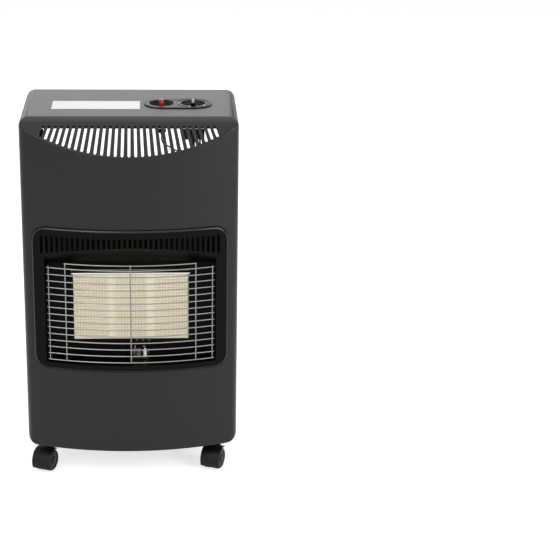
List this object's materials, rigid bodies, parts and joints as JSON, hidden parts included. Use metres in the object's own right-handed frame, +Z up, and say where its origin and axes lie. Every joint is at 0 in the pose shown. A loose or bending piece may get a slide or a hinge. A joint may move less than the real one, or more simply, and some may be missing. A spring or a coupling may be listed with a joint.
{
  "type": "portable gas cabinet heater",
  "caption": "Free-standing bowed cabinet heater on swivel castors, with a radiant ceramic burner behind a wire guard, top controls and a bottle bay closed by a tilting rear cover.",
  "frame": {"origin": "on the floor under the centre of the overall box", "axes": "+Z up, -Y towards the bowed front with the burner, +X to the right as seen from the front"},
  "size_m": [0.43, 0.4296, 0.7697],
  "materials": {
    "charcoal": "satin charcoal paint",
    "zinc_sheet": "plain zinc-coated sheet",
    "gloss_black": "gloss black",
    "chrome": "bright wire",
    "black_enamel": "dark heat-proof enamel",
    "burner_steel": "plain steel",
    "ceramic": null,
    "brass": "plain brass",
    "valve_metal": "die-cast valve metal",
    "copper": null,
    "white_insulation": "white insulator",
    "button_red": "gloss red",
    "castor_black": "matt black",
    "castor_steel": "zinc-plated steel"
  },
  "bodies": {
    "cabinet": {"base_pan": "charcoal", "bottle_partition": "zinc_sheet", "burner_box": "burner_steel", "burner_frame": "gloss_black", "burner_rim": "burner_steel", "burner_surround": "black_enamel", "cabinet_shell": "charcoal", "castor_socket_front_left": "castor_steel", "castor_socket_front_right": "castor_steel", "castor_socket_rear_left": "castor_steel", "castor_socket_rear_right": "castor_steel", "ceramic_plaque_centre": "ceramic", "ceramic_plaque_left": "ceramic", "ceramic_plaque_right": "ceramic", "control_panel": "gloss_black", "gas_inlet_tail": "brass", "gas_pipe": "copper", "gas_valve": "valve_metal", "guard_grille": "chrome", "heat_deflector": "zinc_sheet", "ignition_lead": "white_insulation", "injector_rail": "brass", "piezo_body": "white_insulation", "pilot_bracket": "burner_steel", "pilot_burner": "burner_steel", "pilot_tube": "copper", "spark_electrode": "white_insulation", "thermocouple": "burner_steel", "thermocouple_lead": "copper"},
    "rear_cover": {"rear_cover": "charcoal"},
    "knob_press": {"spring_collar": "brass"},
    "knob": {"valve_spindle": "valve_metal", "control_knob": "gloss_black"},
    "button": {"piezo_button": "button_red"},
    "castor_front_left": {"castor_hood_front_left": "castor_black", "castor_axle_front_left": "castor_steel"},
    "wheel_a_front_left": {"castor_wheel_a_front_left": "castor_black"},
    "wheel_b_front_left": {"castor_wheel_b_front_left": "castor_black"},
    "castor_front_right": {"castor_hood_front_right": "castor_black", "castor_axle_front_right": "castor_steel"},
    "wheel_a_front_right": {"castor_wheel_a_front_right": "castor_black"},
    "wheel_b_front_right": {"castor_wheel_b_front_right": "castor_black"},
    "castor_rear_left": {"castor_hood_rear_left": "castor_black", "castor_axle_rear_left": "castor_steel"},
    "wheel_a_rear_left": {"castor_wheel_a_rear_left": "castor_black"},
    "wheel_b_rear_left": {"castor_wheel_b_rear_left": "castor_black"},
    "castor_rear_right": {"castor_hood_rear_right": "castor_black", "castor_axle_rear_right": "castor_steel"},
    "wheel_a_rear_right": {"castor_wheel_a_rear_right": "castor_black"},
    "wheel_b_rear_right": {"castor_wheel_b_rear_right": "castor_black"}
  },
  "joints": [
    {"name": "rear_cover_tilt", "type": "hinge", "parent": "cabinet", "child": "rear_cover", "pos_m": [0, 0.21125, 0.0698], "axis": [-1, 0, 0], "range_deg": [0, 12]},
    {"name": "knob_press_slide", "type": "slide", "parent": "cabinet", "child": "knob_press", "axis": [0, 0, -1], "range_m": [0, 0.004], "stiffness_N_per_m": 2000, "springref_m": -0.002},
    {"name": "knob_turn", "type": "hinge", "parent": "knob_press", "child": "knob", "pos_m": [0.1265, -0.04585, 0.76], "axis": [0, 0, 1], "range_deg": [0, 210]},
    {"name": "button_slide", "type": "slide", "parent": "cabinet", "child": "button", "axis": [0, 0, -1], "range_m": [0, 0.005], "stiffness_N_per_m": 1500, "springref_m": -0.002},
    {"name": "castor_swivel_front_left", "type": "hinge", "parent": "cabinet", "child": "castor_front_left", "pos_m": [-0.175, -0.13185, 0.06], "axis": [0, 0, 1], "continuous": true},
    {"name": "wheel_spin_a_front_left", "type": "hinge", "parent": "castor_front_left", "child": "wheel_a_front_left", "pos_m": [-0.17117, -0.15173, 0.023], "axis": [-0.9272, 0.3746, 0], "continuous": true},
    {"name": "wheel_spin_b_front_left", "type": "hinge", "parent": "castor_front_left", "child": "wheel_b_front_left", "pos_m": [-0.19157, -0.14349, 0.023], "axis": [-0.9272, 0.3746, 0], "continuous": true},
    {"name": "castor_swivel_front_right", "type": "hinge", "parent": "cabinet", "child": "castor_front_right", "pos_m": [0.175, -0.13185, 0.06], "axis": [0, 0, 1], "continuous": true},
    {"name": "wheel_spin_a_front_right", "type": "hinge", "parent": "castor_front_right", "child": "wheel_a_front_right", "pos_m": [0.17883, -0.15173, 0.023], "axis": [-0.9272, 0.3746, 0], "continuous": true},
    {"name": "wheel_spin_b_front_right", "type": "hinge", "parent": "castor_front_right", "child": "wheel_b_front_right", "pos_m": [0.15843, -0.14349, 0.023], "axis": [-0.9272, 0.3746, 0], "continuous": true},
    {"name": "castor_swivel_rear_left", "type": "hinge", "parent": "cabinet", "child": "castor_rear_left", "pos_m": [-0.15, 0.15415, 0.06], "axis": [0, 0, 1], "continuous": true},
    {"name": "wheel_spin_a_rear_left", "type": "hinge", "parent": "castor_rear_left", "child": "wheel_a_rear_left", "pos_m": [-0.15656, 0.17331, 0.023], "axis": [0.9703, -0.2419, 0], "continuous": true},
    {"name": "wheel_spin_b_rear_left", "type": "hinge", "parent": "castor_rear_left", "child": "wheel_b_rear_left", "pos_m": [-0.13521, 0.16798, 0.023], "axis": [0.9703, -0.2419, 0], "continuous": true},
    {"name": "castor_swivel_rear_right", "type": "hinge", "parent": "cabinet", "child": "castor_rear_right", "pos_m": [0.15, 0.15415, 0.06], "axis": [0, 0, 1], "continuous": true},
    {"name": "wheel_spin_a_rear_right", "type": "hinge", "parent": "castor_rear_right", "child": "wheel_a_rear_right", "pos_m": [0.14344, 0.17331, 0.023], "axis": [0.9703, -0.2419, 0], "continuous": true},
    {"name": "wheel_spin_b_rear_right", "type": "hinge", "parent": "castor_rear_right", "child": "wheel_b_rear_right", "pos_m": [0.16479, 0.16798, 0.023], "axis": [0.9703, -0.2419, 0], "continuous": true}
  ]
}
